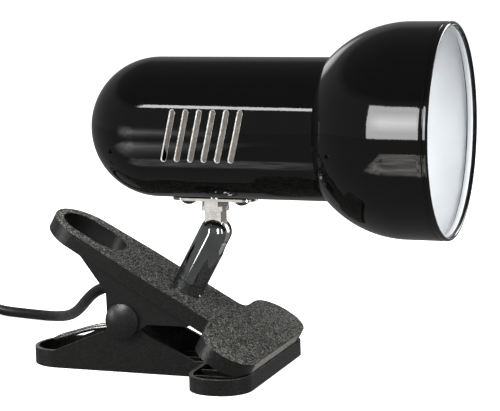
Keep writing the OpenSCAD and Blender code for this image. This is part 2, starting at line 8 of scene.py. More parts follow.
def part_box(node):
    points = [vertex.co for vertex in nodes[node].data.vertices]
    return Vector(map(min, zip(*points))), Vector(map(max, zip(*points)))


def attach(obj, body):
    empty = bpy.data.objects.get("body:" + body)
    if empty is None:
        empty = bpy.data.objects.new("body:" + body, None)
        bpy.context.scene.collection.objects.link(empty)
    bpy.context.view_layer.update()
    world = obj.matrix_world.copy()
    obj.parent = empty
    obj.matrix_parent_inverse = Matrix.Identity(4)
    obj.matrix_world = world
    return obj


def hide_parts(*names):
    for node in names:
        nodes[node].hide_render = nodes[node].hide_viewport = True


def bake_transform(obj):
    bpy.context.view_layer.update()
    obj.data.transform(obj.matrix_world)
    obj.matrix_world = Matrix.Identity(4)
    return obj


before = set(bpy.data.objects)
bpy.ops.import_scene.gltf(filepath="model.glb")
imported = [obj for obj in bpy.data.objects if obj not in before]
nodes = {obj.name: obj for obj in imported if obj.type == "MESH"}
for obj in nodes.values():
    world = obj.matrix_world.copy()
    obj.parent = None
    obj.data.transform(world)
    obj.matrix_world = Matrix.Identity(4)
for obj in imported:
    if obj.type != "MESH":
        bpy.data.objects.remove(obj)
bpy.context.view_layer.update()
scene = bpy.context.scene
TAU = 2 * math.pi

# ---------------------------------------------------------------- camera

CAMERA_AZIMUTH, CAMERA_ELEVATION, CAMERA_ROLL = 19.74, 8.83, -1.28  # degrees
az, el, roll = math.radians(CAMERA_AZIMUTH), math.radians(CAMERA_ELEVATION), math.radians(CAMERA_ROLL)
back = Vector((math.sin(az) * math.cos(el), -math.cos(az) * math.cos(el), math.sin(el)))
right = Vector((0, 0, 1)).cross(back).normalized()
up = back.cross(right)
cam_right = right * math.cos(roll) + up * math.sin(roll)
cam_up = up * math.cos(roll) - right * math.sin(roll)
camera = bpy.data.objects.new("camera", bpy.data.cameras.new("camera"))
scene.collection.objects.link(camera)
camera.matrix_world = (
    Matrix.Translation((0.2983, -0.8096, 0.2156))
    @ Matrix((cam_right, cam_up, back)).transposed().to_4x4()
)
camera.data.sensor_width = 36
camera.data.lens = 130.2
camera.data.clip_start = 0.01
scene.camera = camera
scene.view_settings.view_transform = "Standard"


# ---------------------------------------------------------------- materials

def node_of(tree, kind, **values):
    """A new shader node, with its properties or else its sockets set by name."""
    n = tree.nodes.new(kind)
    for key, value in values.items():
        if hasattr(n, key):
            setattr(n, key, value)
        else:
            n.inputs[key.replace("_", " ")].default_value = value
    return n


def noise(tree, scale, detail=3.0):
    coord = tree.nodes.new("ShaderNodeTexCoord")
    n = node_of(tree, "ShaderNodeTexNoise", Scale=scale, Detail=detail, Roughness=0.55)
    tree.links.new(coord.outputs["Object"], n.inputs["Vector"])
    return n.outputs["Fac"]


def ramp(tree, fac, low, high, a=0.35, b=0.65):
    """Maps fac from a..b to low..high, clamped."""
    r = tree.nodes.new("ShaderNodeMapRange")
    r.inputs["From Min"].default_value = a
    r.inputs["From Max"].default_value = b
    r.inputs["To Min"].default_value = low
    r.inputs["To Max"].default_value = high
    tree.links.new(fac, r.inputs["Value"])
    return r.outputs["Result"]


def tint(tree, fac, dark, light, a=0.35, b=0.65):
    m = tree.nodes.new("ShaderNodeMix")
    m.data_type = "RGBA"
    m.inputs["A"].default_value = (*dark, 1)
    m.inputs["B"].default_value = (*light, 1)
    tree.links.new(ramp(tree, fac, 0, 1, a, b), m.inputs["Factor"])
    return m.outputs["Result"]


def bump(tree, shader, layers):
    """Each layer is (height output, strength, distance in metres)."""
    last = None
    for height, strength, distance in layers:
        b = tree.nodes.new("ShaderNodeBump")
        b.inputs["Strength"].default_value = strength
        b.inputs["Distance"].default_value = distance
        tree.links.new(height, b.inputs["Height"])
        if last:
            tree.links.new(last, b.inputs["Normal"])
        last = b.outputs["Normal"]
    tree.links.new(last, shader.inputs["Normal"])


def material(name, dark, light, rough, metal=0.0, colour_scale=120, rough_scale=90, layers=(), **fixed):
    """A surface whose colour, roughness and relief vary.

    rough is (smoothest, roughest). layers are (noise scale, strength, distance in metres).
    """
    m = bpy.data.materials.new(name)
    m.use_nodes = True
    tree = m.node_tree
    shader = tree.nodes["Principled BSDF"]
    shader.inputs["Metallic"].default_value = metal
    for key, value in fixed.items():
        shader.inputs[key.replace("_", " ")].default_value = value
    tree.links.new(tint(tree, noise(tree, colour_scale), dark, light), shader.inputs["Base Color"])
    tree.links.new(ramp(tree, noise(tree, rough_scale, 4), *rough), shader.inputs["Roughness"])
    if layers:
        bump(tree, shader, [(noise(tree, s, 2), k, d) for s, k, d in layers])
    return m


def pebbled(name, dark, light, rough, pitch, depth, strength=1.0):
    """Moulded plastic with a fine pebble grain of the given pitch and depth in metres."""
    m = material(name, dark, light, rough, colour_scale=1.6 / pitch, rough_scale=1 / pitch)
    tree = m.node_tree
    shader = tree.nodes["Principled BSDF"]
    coord = tree.nodes.new("ShaderNodeTexCoord")
    cells = node_of(tree, "ShaderNodeTexVoronoi", feature="SMOOTH_F1", Scale=1 / pitch, Smoothness=0.35)
    tree.links.new(coord.outputs["Object"], cells.inputs["Vector"])
    grain = node_of(tree, "ShaderNodeTexVoronoi", Scale=0.8 / pitch)
    tree.links.new(coord.outputs["Object"], grain.inputs["Vector"])
    part = tree.nodes.new("ShaderNodeSeparateColor")
    tree.links.new(grain.outputs["Color"], part.inputs[0])
    tree.links.new(tint(tree, part.outputs[0], dark, light, 0.6, 1.0), shader.inputs["Base Color"])
    bump(tree, shader, [
        (cells.outputs["Distance"], strength, -depth),
        (noise(tree, 0.35 / pitch, 3), 0.5, depth),
    ])
    return m


M = {
    "paint": material("gloss_black_paint", (0.0062, 0.0062, 0.0058), (0.0085, 0.0085, 0.008), (0.03, 0.06),
                      rough_scale=70, layers=[(700, 0.10, 0.00006), (90, 0.12, 0.0001)],
                      Specular_IOR_Level=0.5),
    # Dark inner paint, also used as a painted shadow in the gap behind the bowl's hem
    "inner_paint_and_gap_shade": material("dark_interior_paint_and_painted_shade", (0.012, 0.012, 0.011), (0.02, 0.02, 0.018), (0.4, 0.6)),
    "white": material("white_inner_paint", (0.70, 0.714, 0.728), (0.75, 0.765, 0.78), (0.32, 0.45),
                      colour_scale=45, layers=[(350, 0.15, 0.0001)]),
    "edge": material("cut_edge", (0.35, 0.35, 0.34), (0.85, 0.85, 0.83), (0.35, 0.6), colour_scale=900,
                     layers=[(1500, 0.8, 0.0003)]),
    "chrome": material("polished_chrome", (0.26, 0.265, 0.27), (0.33, 0.335, 0.34), (0.03, 0.07), metal=1.0,
                       rough_scale=160),
    "nickel": material("satin_nickel", (0.74, 0.71, 0.66), (0.84, 0.81, 0.76), (0.08, 0.16), metal=1.0,
                       rough_scale=300, layers=[(900, 0.06, 0.00004)]),
    "zinc": material("zinc_plate", (0.45, 0.45, 0.44), (0.62, 0.62, 0.6), (0.22, 0.42), metal=1.0,
                     colour_scale=400, rough_scale=350, layers=[(1200, 0.3, 0.00006)]),
    "spring": material("spring_wire", (0.20, 0.20, 0.205), (0.34, 0.34, 0.35), (0.2, 0.35), metal=1.0,
                       rough_scale=600),
    "brass": material("brass", (0.58, 0.42, 0.18), (0.72, 0.55, 0.26), (0.2, 0.35), metal=1.0),
    "holder": material("lampholder_plastic", (0.40, 0.365, 0.33), (0.50, 0.465, 0.42), (0.42, 0.6),
                       colour_scale=260, layers=[(900, 0.1, 0.0001)]),
    "ceramic": material("ceramic", (0.70, 0.69, 0.65), (0.8, 0.79, 0.75), (0.25, 0.4)),
    "glass": material("opal_glass", (0.82, 0.82, 0.80), (0.88, 0.88, 0.86), (0.12, 0.2),
                      Subsurface_Weight=0.3, Subsurface_Scale=0.004),
    "cap_metal": material("lamp_cap", (0.55, 0.55, 0.54), (0.68, 0.68, 0.67), (0.25, 0.4), metal=1.0),
    "seat": material("seat_plastic", (0.6, 0.6, 0.58), (0.7, 0.7, 0.68), (0.4, 0.55)),
    # The jaw top's pale speckles are painted pebble highlights
    "jaw_top_painted_glints": pebbled("jaw_pebble_painted_glints", (0.006, 0.0062, 0.0055), (0.40, 0.395, 0.35), (0.18, 0.36),
                       0.00046, 0.0005),
    "jaw_side": pebbled("jaw_side", (0.007, 0.007, 0.0066), (0.019, 0.019, 0.0175), (0.24, 0.38),
                        0.00045, 0.00008, 0.7),
    "jaw_smooth": pebbled("jaw_smooth", (0.009, 0.009, 0.0085), (0.014, 0.014, 0.0132), (0.3, 0.4),
                          0.0009, 0.00003, 0.4),
    # The inner faces get a darker copy of the jaw plastic as painted shade
    "jaw_inside_painted_shade": pebbled("jaw_inside_painted_shade", (0.003, 0.003, 0.0028), (0.006, 0.006, 0.0056), (0.4, 0.5),
                          0.0009, 0.00003, 0.4),
    # Lighter plastic on the lower jaw's upper rims and rib tops: a painted highlight
    "jaw_rim_painted_highlight": pebbled("jaw_rim_painted_highlight", (0.05, 0.05, 0.047), (0.22, 0.215, 0.2), (0.28, 0.45), 0.0006, 0.0001, 0.7),
    "cap_plastic": pebbled("cap_plastic", (0.009, 0.009, 0.0087), (0.017, 0.017, 0.0163), (0.3, 0.42),
                           0.0007, 0.00004, 0.5),
    "pad": pebbled("grip_rubber", (0.34, 0.33, 0.31), (0.60, 0.585, 0.55), (0.6, 0.8), 0.0011, 0.0004),
    "cord": material("cord_sheath", (0.006, 0.006, 0.0058), (0.014, 0.014, 0.0135), (0.28, 0.42),
                     colour_scale=150, rough_scale=200, layers=[(700, 0.3, 0.00008), (60, 0.3, 0.0003)]),
}


# ---------------------------------------------------------------- mesh helpers

def finish_mesh(bm, name, materials, sharp=32):
    bmesh.ops.recalc_face_normals(bm, faces=bm.faces)
    mesh = bpy.data.meshes.new(name)
    bm.to_mesh(mesh)
    bm.free()
    for m in materials:
        mesh.materials.append(m)
    mesh.shade_smooth()
    mesh.set_sharp_from_angle(angle=math.radians(sharp))
    o = bpy.data.objects.new(name, mesh)
    scene.collection.objects.link(o)
    return o


def baked(o):
    """Applies an object's modifiers to its mesh."""
    mesh = bpy.data.meshes.new_from_object(o.evaluated_get(bpy.context.evaluated_depsgraph_get()))
    o.modifiers.clear()
    old = o.data
    o.data = mesh
    bpy.data.meshes.remove(old)
    return o


def soften(o, width, segments=2, angle=32):
    b = o.modifiers.new("edges", "BEVEL")
    b.width = width
    b.segments = segments
    b.limit_method = "ANGLE"
    b.angle_limit = math.radians(angle)
    b.use_clamp_overlap = True
    b.harden_normals = True
    return o


def lathe(name, loop, steps, frame_of, materials, slots=None, sharp=32):
    """Turns a closed loop of (along, radius) points about the frame's X axis.

    slots gives the material index for each edge of the loop.
    """
    bm = bmesh.new()
    angles = [TAU * k / steps for k in range(steps)]
    rings = []
    for along, r in loop:
        if r < 1e-6:
            v = bm.verts.new(frame_of @ Vector((along, 0, 0)))
            rings.append([v] * steps)
        else:
            rings.append([
                bm.verts.new(frame_of @ Vector((along, r * math.cos(a), r * math.sin(a)))) for a in angles
            ])
    count = len(loop)
    for i in range(count):
        a, b = rings[i], rings[(i + 1) % count]
        for k in range(steps):
            corners = []
            for v in (a[k], b[k], b[(k + 1) % steps], a[(k + 1) % steps]):
                if v not in corners:
                    corners.append(v)
            if len(corners) > 2:
                f = bm.faces.new(corners)
                f.material_index = slots[i] if slots else 0
    return finish_mesh(bm, name, materials, sharp)


def smooth_path(points, per=6):
    """A Catmull-Rom line through the points."""
    out = []
    for i in range(len(points) - 1):
        p0 = points[max(i - 1, 0)]
        p1, p2 = points[i], points[i + 1]
        p3 = points[min(i + 2, len(points) - 1)]
        for k in range(per):
            t = k / per
            out.append(0.5 * (2 * p1 + (p2 - p0) * t + (2 * p0 - 5 * p1 + 4 * p2 - p3) * t * t
                              + (3 * p1 - p0 - 3 * p2 + p3) * t ** 3))
    out.append(points[-1])
    return out


def wire(name, points, radius, mat, resolution=6):
    curve = bpy.data.curves.new(name, "CURVE")
    curve.dimensions = "3D"
    curve.bevel_depth = radius
    curve.bevel_resolution = resolution
    curve.use_fill_caps = True
    s = curve.splines.new("POLY")
    s.points.add(len(points) - 1)
    for p, q in zip(s.points, points):
        p.co = (*q, 1)
    s.use_smooth = True
    curve.materials.append(mat)
    o = bpy.data.objects.new(name, curve)
    scene.collection.objects.link(o)
    return o


def place(o, body, slot, *replaced):
    """Rides a piece on its body, in place of the CAD nodes it stands for. slot is not used."""
    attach(o, body)
    if replaced:
        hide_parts(*replaced)
    return o


# ---------------------------------------------------------------- cord

def mm(*rows):
    """Points given in millimetres, as vectors in metres."""
    return [Vector(r) / 1000 for r in rows]


CORD_D = 0.0058
droop, yaw = math.radians(18), math.radians(25)
relief_dir = Vector((-math.cos(droop) * math.cos(yaw), math.cos(droop) * math.sin(yaw), -math.sin(droop)))
relief_at = Vector((-0.0565, 0, 0.0426))
lead = mm(
    [-71.7, 7.1, 37.2], [-78.3, 10.5, 34.4], [-82.9, 13.7, 31.7], [-87.1, 17.4, 28.7], [-91.4, 22.1, 25.4],
    [-96, 27.9, 21.9], [-101.4, 35.1, 18.2], [-108, 44, 14.3], [-117, 56, 9.8], [-127, 67, 6.3],
    [-137.5, 75, 4.1], [-148.5, 80, 3.2], [-159.5, 82.8, 3], [-169, 84, 3.3], [-175.5, 84.4, 4.3],
    [-181, 84.5, 5.5], [-186, 84.5, 6],
)
link = mm(
    [-242, 84.5, 6], [-245, 84.5, 6], [-251.4, 83.7, 5.7], [-257.3, 81.2, 5], [-262.4, 77.3, 4.3],
    [-266.3, 72.2, 3.6], [-268.8, 66.3, 3.2], [-269.6, 59.9, 3], [-269.6, 50, 3], [-269.6, 40, 3],
)
tail = mm(
    [-269.6, 18, 8.8], [-270.2, 8, 8], [-270.8, -2, 6.4], [-271.2, -12, 5], [-271.5, -22, 5],
    [-271.5, -33, 5],
)
coil_at = Vector((-0.2298, 0.028, 0))
LOW_LAYER, HIGH_LAYER, TURN_POINTS = 0.003, 0.0088, 36
CLIMB = 2  # the turn in which the cord steps up to the upper layer
tracks = [0.0398, 0.034, 0.0282, 0.0282, 0.034, 0.0398]
turns = []
for turn, r in enumerate(tracks):
    after = tracks[min(turn + 1, len(tracks) - 1)]
    for k in range(TURN_POINTS):
        part = k / TURN_POINTS
        jog = max(2 * part - 1, 0)
        ease = jog * jog * (3 - 2 * jog)
        radius = r + (after - r) * ease
        height = LOW_LAYER if turn <= CLIMB else HIGH_LAYER
        if turn == CLIMB:
            height += CORD_D * ease
            radius -= 0.0014 * math.sin(math.pi * jog) ** 2
        angle = math.pi + TAU * part
        turns.append(coil_at + Vector((radius * math.cos(angle), radius * math.sin(angle), height)))
route = [relief_at - relief_dir * 0.0052, relief_at + relief_dir * 0.004, relief_at + relief_dir * 0.012]
route = smooth_path(route + lead) + smooth_path(link + turns + tail, 3)
cord = wire("cord", route, CORD_D / 2, M["cord"], 5)
place(cord, "lower_jaw", "cord_rubber", "cord_lead", "cord_link", "cord_coil", "cord_tail")

# Strain relief: a ribbed, tapered sleeve
sleeve = Matrix.Translation(relief_at) @ relief_dir.to_track_quat("X", "Z").to_matrix().to_4x4()
SLEEVE_RIBS, SLEEVE_PITCH, SLEEVE_TAPER = 5, 0.0023, 0.00022
outline = [(-0.0056, 0.0029), (-0.0056, 0.0036), (0.0066, 0.0036), (0.0068, 0.0043), (0.0070, 0.0045)]
for k in range(SLEEVE_RIBS):
    x0 = 0.0072 + SLEEVE_PITCH * k
    r0 = 0.0045 - SLEEVE_TAPER * k
    outline += [(x0, r0), (x0 + 0.0008, r0), (x0 + 0.001, r0 - 0.0005), (x0 + 0.0018, r0 - 0.0005)]
outline += [(0.0187, 0.0034), (0.0194, 0.0031), (0.0194, 0.0029)]
place(lathe("strain_relief_sleeve", outline, 40, sleeve, [M["cord"]]), "lower_jaw", "cord_rubber",
      "strain_relief")

# ---------------------------------------------------------------- head shell

rear_lo, rear_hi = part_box("rear_housing")
bowl_lo, bowl_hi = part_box("front_bowl")
AX = (bowl_lo.z + bowl_hi.z) / 2
R = AX - bowl_lo.z
RB = (rear_hi.z - rear_lo.z) / 2
JOIN, RIM = rear_hi.x, bowl_hi.x
DOME = rear_lo.x + RB
HEAD = Matrix.Translation((0, 0, AX))
SKIN = 0.0007



def dome(radius, n=28):
    """The round end's outline, from its tip to where the straight barrel begins."""
    return [(DOME - radius * math.cos(math.pi / 2 * k / n), radius * math.sin(math.pi / 2 * k / n))
            for k in range(n)]


outer, inner = dome(RB), dome(RB - SKIN)
straight = [DOME + (JOIN - DOME) * k / 12 for k in range(13)]
loop = (
    outer + [(x, RB) for x in straight]
    + [(x, RB - SKIN) for x in reversed(straight)] + list(reversed(inner))
)
side = [0] * (len(outer) + len(straight) - 1) + [1] * (len(inner) + len(straight) + 1)
shell = lathe("rear_shell", loop, 192, HEAD, [M["paint"], M["inner_paint_and_gap_shade"], M["edge"]], side)

# Six leaning vents through both sides, their row VENT_DROP under the barrel's axis. A point at v metres from
# a vent's middle is set back by VENT_BOW * v * v.
cut = bmesh.new()
vent_rings = []
VENT_W, VENT_L, VENT_PITCH, VENT_LEAN = 0.0029, 0.0226, 0.0067, math.radians(13.3)
VENT_COUNT, VENT_MIDDLE, VENT_DROP, VENT_BOW = 6, -0.0033, 0.0005, 5.6
for i in range(VENT_COUNT):
    cx = VENT_MIDDLE + VENT_PITCH * (i - (VENT_COUNT - 1) / 2)
    ring = []
    for end in (1, -1):
        round_end = [(end * VENT_W / 2 * math.cos(math.pi * k / 12),
                      end * (VENT_L + VENT_W * math.sin(math.pi * k / 12)) / 2) for k in range(13)]
        for u, v in round_end + [(-end * VENT_W / 2, end * VENT_L / 2 * (1 - k / 4)) for k in range(1, 8)]:
            ring.append((cx + u * math.cos(VENT_LEAN) + v * math.sin(VENT_LEAN) - VENT_BOW * v * v,
                         AX - VENT_DROP - u * math.sin(VENT_LEAN) + v * math.cos(VENT_LEAN)))
    vent_rings.append(ring)
    near = [cut.verts.new((x, -0.05, z)) for x, z in ring]
    far = [cut.verts.new((x, 0.05, z)) for x, z in ring]
    cut.faces.new(near)
    cut.faces.new(list(reversed(far)))
    n = len(ring)
    for k in range(n):
        cut.faces.new((near[k], far[k], far[(k + 1) % n], near[(k + 1) % n]))
cutter = finish_mesh(cut, "vent_cutter", [M["edge"]])
b = shell.modifiers.new("vents", "BOOLEAN")
b.object = cutter
b.operation = "DIFFERENCE"
b.solver = "EXACT"
baked(shell)
bpy.data.objects.remove(cutter)
shell.data.shade_smooth()
shell.data.set_sharp_from_angle(angle=math.radians(32))
soften(shell, 0.00022, 2)
place(shell, "head", "black_paint", "rear_housing")

# Thin pale lips in the vents. The corners are (inset into the vent, depth under the barrel's surface)
LIP = ((-0.00004, 0.00012), (0.00018, 0.00012), (0.00018, 0.0013), (-0.00004, 0.0013))
lips = bmesh.new()
for ring in vent_rings:
    for side_y in (-1, 1):
        rows = []
        for inset, depth in LIP:
            row = []
            for i, (x, z) in enumerate(ring):
                (xa, za), (xb, zb) = ring[i - 1], ring[(i + 1) % len(ring)]
                t = Vector((xb - xa, zb - za)).normalized()
                px, pz = x - t.y * inset, z + t.x * inset
                r = RB - depth
                row.append(lips.verts.new((px, side_y * math.sqrt(r * r - (pz - AX) ** 2), pz)))
            rows.append(row)
        for i in range(len(LIP)):
            a, c = rows[i], rows[(i + 1) % len(LIP)]
            for k in range(len(a)):
                lips.faces.new((a[k], c[k], c[(k + 1) % len(a)], a[(k + 1) % len(a)]))
vent_lips = place(finish_mesh(lips, "vent_lips", [M["edge"]]), "head", "black_paint")

# Bowl: flare, straight rim, groove and rolled bead; the white liner is its own piece
FLARE = 0.052
flare_x = JOIN + math.sqrt(FLARE ** 2 - (FLARE + RB - R) ** 2)
low = math.acos((JOIN - flare_x) / FLARE)
BEAD = 0.0011


def flare(radius, n=36):
    """The bowl's curve, from the barrel to its widest part."""
    return [(flare_x + radius * math.cos(low + (math.pi / 2 - low) * k / n),
             R - FLARE + radius * math.sin(low + (math.pi / 2 - low) * k / n)) for k in range(n + 1)]


groove = [(RIM - 0.0052, R), (RIM - 0.0032, R), (RIM - 0.0029, R - 0.0001), (RIM - 0.0026, R - 0.00042),
          (RIM - 0.0023, R - 0.00045), (RIM - 0.0020, R - 0.0001)]
bead = [(RIM - BEAD + BEAD * math.sin(math.radians(a)), R - BEAD + BEAD * math.cos(math.radians(a)))
        for a in range(-12, 181, 16)]
shell_loop = (
    [(JOIN, RB - 0.003)] + flare(FLARE) + groove + bead
    + [(RIM - 0.0024, R - 2 * BEAD), (RIM - 0.0024, R - 0.0014), (RIM - 0.006, R - SKIN / 2)]
    + list(reversed(flare(FLARE - SKIN / 2))) + [(JOIN + SKIN / 2, RB - 0.003)]
)
bowl = lathe("bowl_shell", shell_loop, 224, HEAD, [M["paint"]], sharp=40)
place(bowl, "head", "black_paint", "front_bowl")
hem = RIM - 0.0042
# The point where the painted shadow of the gap behind the hem begins
painted_shade_behind_hem = (hem - 0.0003, R - 0.0010)
liner_loop = (
    [(JOIN + SKIN / 2, RB - 0.004)] + flare(FLARE - SKIN / 2)
    + [(RIM - 0.0062, R - SKIN / 2), (RIM - 0.0030, R - 0.0013), (RIM - 0.0022, R - 0.0014),
       (RIM - 0.0018, R - 2.05 * BEAD), (RIM - 0.0022, R - 2.2 * BEAD), (hem, R - 2.2 * BEAD),
       (hem - 0.0002, R - 2.05 * BEAD), painted_shade_behind_hem, (hem - 0.001, R - SKIN)]
    + list(reversed(flare(FLARE - SKIN))) + [(JOIN + SKIN, RB - 0.004)]
)
# The edge from just behind the hem takes the dark inner paint: a painted shadow of the gap under the rolled
# hem
liner_slots = [1 if point == painted_shade_behind_hem else 0 for point in liner_loop]
liner = lathe("bowl_liner", liner_loop, 224, HEAD, [M["white"], M["inner_paint_and_gap_shade"]], liner_slots, 40)
place(liner, "head", "black_paint", "front_bowl")

# Lampholder: fine fluting along its length. The profile is (distance along, share of the full radius)
hold_lo, hold_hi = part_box("lampholder_body")
bm = bmesh.new()
HR = (hold_hi.z - hold_lo.z) / 2
FLUTES, FLUTE_HALF, HOLDER_START = 190, 0.00024, 0.004
rings = []
profile = [(0.0, 0.5), (0.0002, 0.74), (0.003, 0.93), (0.0055, 0.985), (0.007, 1.0), (0.02, 1.0),
           (0.035, 1.0), (0.0565, 1.0), (0.057, 0.985), (0.057, 0.915), (0.008, 0.905), (0.005, 0.82),
           (0.002, 0.66), (0.002, 0.5)]
for along, share in profile:
    ring = []
    for k in range(FLUTES * 4):
        a = TAU * k / (FLUTES * 4)
        ridge = FLUTE_HALF * (1 if k % 4 in (0, 1) else -1) if share > 0.99 else 0
        r = HR * share + ridge - FLUTE_HALF
        ring.append(bm.verts.new((hold_lo.x + HOLDER_START + along, r * math.cos(a), AX + r * math.sin(a))))
    rings.append(ring)
for i in range(len(rings)):
    a, c = rings[i], rings[(i + 1) % len(rings)]
    for k in range(len(a)):
        bm.faces.new((a[k], c[k], c[(k + 1) % len(a)], a[(k + 1) % len(a)]))
sleeve_piece = place(finish_mesh(bm, "lampholder_sleeve", [M["holder"]], 25), "head", "holder_plastic",
                     "lampholder_body")


# ---------------------------------------------------------------- moulded parts from the CAD shapes

def moulded(name, node, width, mats, pick=None, segments=2):
    """A welded copy of a CAD node with softened edges. pick(face) chooses its material."""
    bm = bmesh.new()
    bm.from_mesh(nodes[node].data)
    bmesh.ops.remove_doubles(bm, verts=bm.verts, dist=2e-6)
    bmesh.ops.dissolve_limit(bm, angle_limit=math.radians(0.6), verts=bm.verts, edges=bm.edges)
    bmesh.ops.recalc_face_normals(bm, faces=bm.faces)
    for f in bm.faces:
        f.material_index = pick(f) if pick else 0
    return soften(finish_mesh(bm, name, mats, 30), width, segments, 30)


lean = math.radians(29)
EAR_OUT = 0.02
SMALL_FACE = 2e-6
slope_up = Vector((math.sin(lean), 0, math.cos(lean)))


def jaw_slot(f):
    """0 for the pebbled top, whose pale speckles are painted highlights, 1 for the outer walls, 2 for the
    smooth ears and 3 for the inner faces, which are darker as painted shade.
    """
    middle = f.calc_center_median()
    if f.normal.dot(slope_up) > 0.9:
        return 0 if f.calc_area() > SMALL_FACE else 1
    if abs(f.normal.y) > 0.9 and abs(abs(middle.y) - EAR_OUT) < 0.0003:
        return 2
    return 3 if abs(middle.y) < EAR_OUT - 0.0006 and middle.x < 0 and f.normal.x > -0.5 else 1


def highlight_rim_or_side(f):
    """0 for the lower jaw's upward-facing rims and rib tops, lighter as a painted highlight, and 1 for the
    rest.
    """
    return 0 if f.normal.z > 0.9 and f.calc_center_median().z > 0.006 else 1


upper_mats = [M[key] for key in ("jaw_top_painted_glints", "jaw_side", "jaw_smooth", "jaw_inside_painted_shade")]
upper = place(moulded("upper_jaw_moulding", "upper_jaw", 0.0005, upper_mats, jaw_slot, 3),
              "upper_jaw", "jaw_plastic", "upper_jaw")
lower = place(moulded("lower_jaw_moulding", "lower_jaw", 0.0003, [M["jaw_rim_painted_highlight"], M["jaw_side"]], highlight_rim_or_side),
              "lower_jaw", "jaw_plastic", "lower_jaw")
place(moulded("grip_pad_moulding", "grip_pad", 0.0004, [M["pad"]]), "upper_jaw", "pad_rubber", "grip_pad")
on_cord = []
for node, body, width in (
    ("switch_base", "lower_jaw", 0.0005),
    ("switch_cover", "lower_jaw", 0.0008),
    ("switch_rocker", "rocker", 0.0004),
):
    switch_part = moulded(node + "_moulding", node, width, [M["cap_plastic"]], segments=3)
    on_cord.append(place(switch_part, body, "cap_plastic", node))
for o in [cord] + on_cord:
    o.visible_glossy = False

# Torsion spring: legs in both jaws, coils on the pivot pin
pin_lo, pin_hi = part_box("pivot_pin")
pivot = (pin_lo + pin_hi) / 2
WIRE, COIL, GAP, TURNS, COIL_STEPS, COIL_START = 0.0011, 0.0062, 0.0034, 3.22, 84, 265
lower_leg = ((-0.044, -0.015), (-0.036, -0.0125), (-0.024, -0.0088), (-0.012, -0.0072))
upper_leg = ((-0.0099, 0.0105), (-0.0102, 0.021), (-0.0088, 0.0284))
pitch = 2 * WIRE + 0.00015
half_spring = [Vector((x, -GAP, z)) for x, z in lower_leg]
for k in range(COIL_STEPS + 1):
    a = math.radians(COIL_START - 360 * TURNS * k / COIL_STEPS)
    y = -GAP - pitch * TURNS * k / COIL_STEPS
    half_spring.append(Vector((COIL * math.cos(a), y, COIL * math.sin(a))))
half_spring += [Vector((x, -GAP - pitch * TURNS, z)) for x, z in upper_leg]
flip = [Vector((p.x, -p.y, p.z)) for p in half_spring]
bend = [Vector((-0.0448, -0.0018, -0.0153)), Vector((-0.0448, 0.0018, -0.0153))]
spring_path = [pivot + p for p in smooth_path(list(reversed(half_spring)) + bend + flip, 2)]
spring = wire("torsion_spring_wire", spring_path, WIRE, M["spring"], 4)
bpy.context.view_layer.update()
spring_mesh = bpy.data.meshes.new_from_object(spring.evaluated_get(bpy.context.evaluated_depsgraph_get()))
bpy.data.objects.remove(spring)
spring = bpy.data.objects.new("torsion_spring_wire", spring_mesh)
scene.collection.objects.link(spring)
spring_mesh.materials.clear()
spring_mesh.materials.append(M["spring"])
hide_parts("torsion_spring")
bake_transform(spring)

# ---------------------------------------------------------------- materials of the remaining CAD nodes

for names, key in (
    (("bracket_plate", "stem_nut", "knuckle_stem"), "nickel"),
    (("swivel_tube", "tube_ferrule", "plug_pins", "plate_screws"), "chrome"),
    (("plate_nuts", "inner_lock_nut", "lampholder_bracket", "tube_nipple", "nipple_washer", "nipple_nut",
      "pivot_pin"), "zinc"),
    (("lampholder_insert",), "ceramic"),
    (("screw_shell", "centre_contact", "terminal_screws"), "brass"),
    (("bulb_globe",), "glass"), (("bulb_cap",), "cap_metal"), (("ball_seat",), "seat"),
    (("friction_spring",), "spring"), (("pivot_caps", "coil_tie"), "cap_plastic"), (("plug_body",), "cord"),
):
    for n in names:
        mesh = nodes[n].data
        mesh.materials.clear()
        mesh.materials.append(M[key])

# ---------------------------------------------------------------- stage and light

def stage_material(name, seen, other):
    """White for the camera and dimmer in reflections, so that gloss black stays black."""
    m = bpy.data.materials.new(name)
    m.use_nodes = True
    tree = m.node_tree
    tree.nodes.clear()
    out = tree.nodes.new("ShaderNodeOutputMaterial")
    path = tree.nodes.new("ShaderNodeLightPath")
    mix = tree.nodes.new("ShaderNodeMixShader")
    glow = node_of(tree, "ShaderNodeEmission", Strength=seen)
    dim = node_of(tree, "ShaderNodeEmission", Strength=other)
    white = node_of(tree, "ShaderNodeBsdfDiffuse")
    white.inputs["Color"].default_value = (0.9, 0.9, 0.9, 1)
    add = tree.nodes.new("ShaderNodeAddShader")
    tree.links.new(path.outputs["Is Camera Ray"], mix.inputs["Fac"])
    tree.links.new(dim.outputs[0], mix.inputs[1])
    tree.links.new(glow.outputs[0], add.inputs[0])
    tree.links.new(white.outputs[0], add.inputs[1])
    tree.links.new(add.outputs[0], mix.inputs[2])
    tree.links.new(mix.outputs[0], out.inputs["Surface"])
    return m


bm = bmesh.new()
bmesh.ops.create_grid(bm, x_segments=8, y_segments=8, size=3)
floor = finish_mesh(bm, "floor", [stage_material("floor", seen=1.0, other=0.2)])

